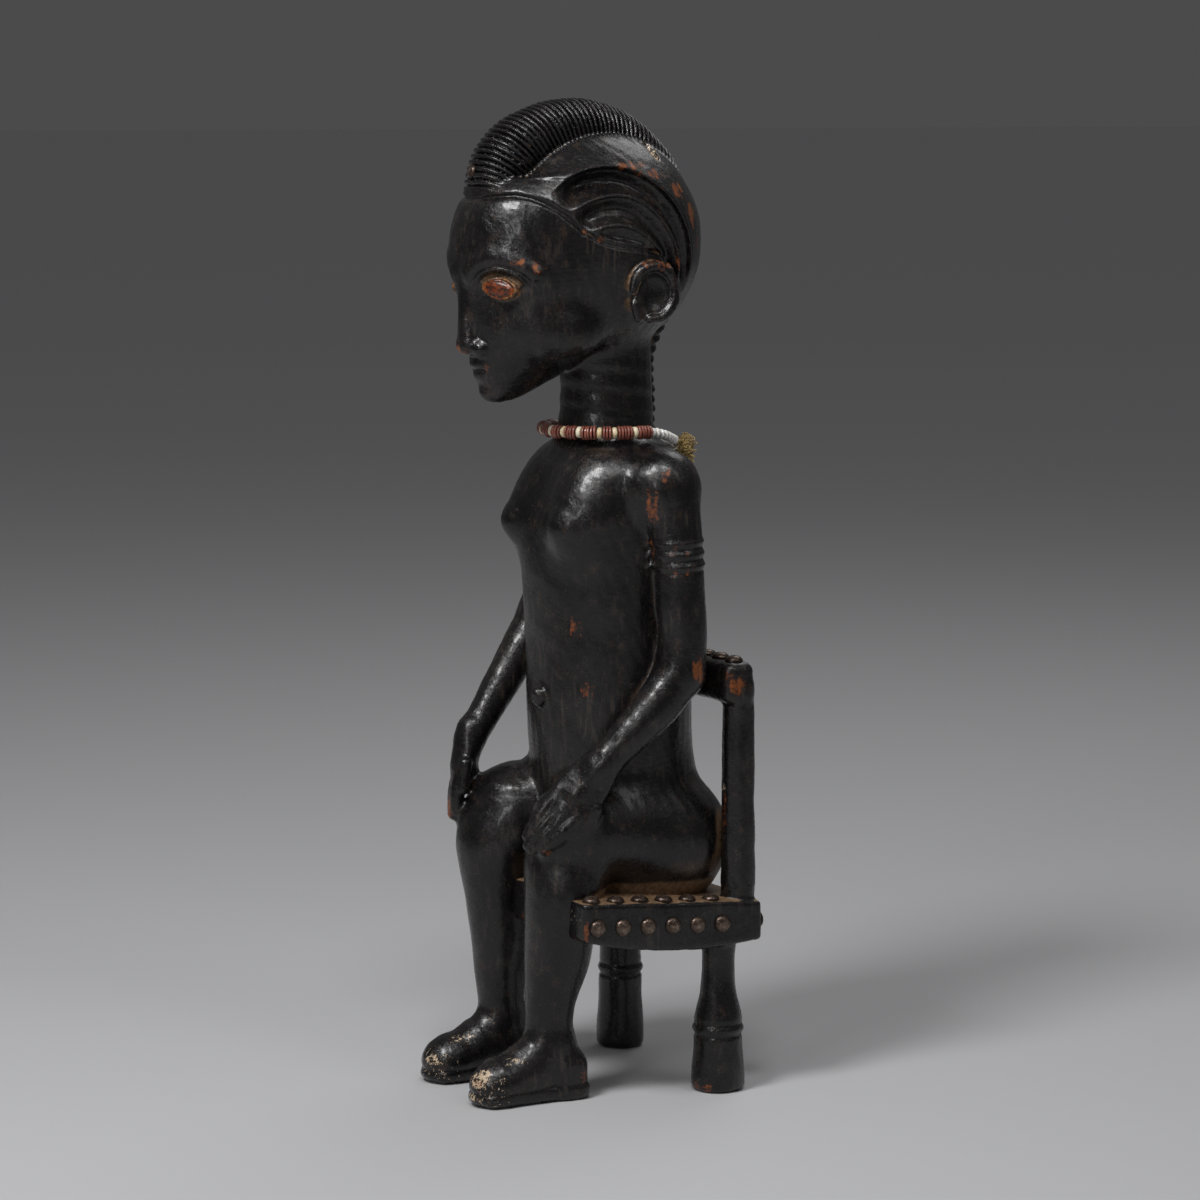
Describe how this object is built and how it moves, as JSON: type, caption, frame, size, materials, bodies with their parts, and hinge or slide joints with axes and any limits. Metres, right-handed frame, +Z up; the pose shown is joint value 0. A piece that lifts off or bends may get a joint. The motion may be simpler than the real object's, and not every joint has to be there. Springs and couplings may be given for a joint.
{
  "type": "fertility doll",
  "caption": "Carved wooden figure seated on a low chair, with brass upholstery tacks and a string of beads round the neck that can be lifted.",
  "frame": {"origin": "on the floor under the middle of the overall bounding box", "axes": "+Z up; the figure faces -Y; its own left side is +X"},
  "size_m": [0.1414, 0.154, 0.516],
  "materials": {
    "figure_wood": "dark polished patina, worn to orange-brown on the high spots",
    "chair_wood": "dark patina, dusty on the seat",
    "tack_metal": "darkened, dull",
    "red_disc": "red-brown hard disc beads, slightly polished",
    "cream_bead": "cream glass beads, satin",
    "white_bead": "white glass beads, glossy",
    "string": "twisted plant fibre",
    "fibre_knot": "frayed golden plant fibre"
  },
  "bodies": {
    "carving": {"figure": "figure_wood", "chair": "chair_wood", "hair_tack": "tack_metal", "rail_tacks": "tack_metal", "seat_back_tacks": "tack_metal", "seat_left_side_tacks": "tack_metal", "seat_left_top_tacks": "tack_metal", "seat_right_side_tacks": "tack_metal", "seat_right_top_tacks": "tack_metal"},
    "bead_string": {"thread": "string", "knot": "fibre_knot", "red_discs": "red_disc", "cream_beads": "cream_bead", "white_beads": "white_bead"}
  },
  "joints": [
    {"name": "bead_string_lift", "type": "slide", "parent": "carving", "child": "bead_string", "axis": [0, 0, 1], "range_m": [0, 0.014]}
  ]
}
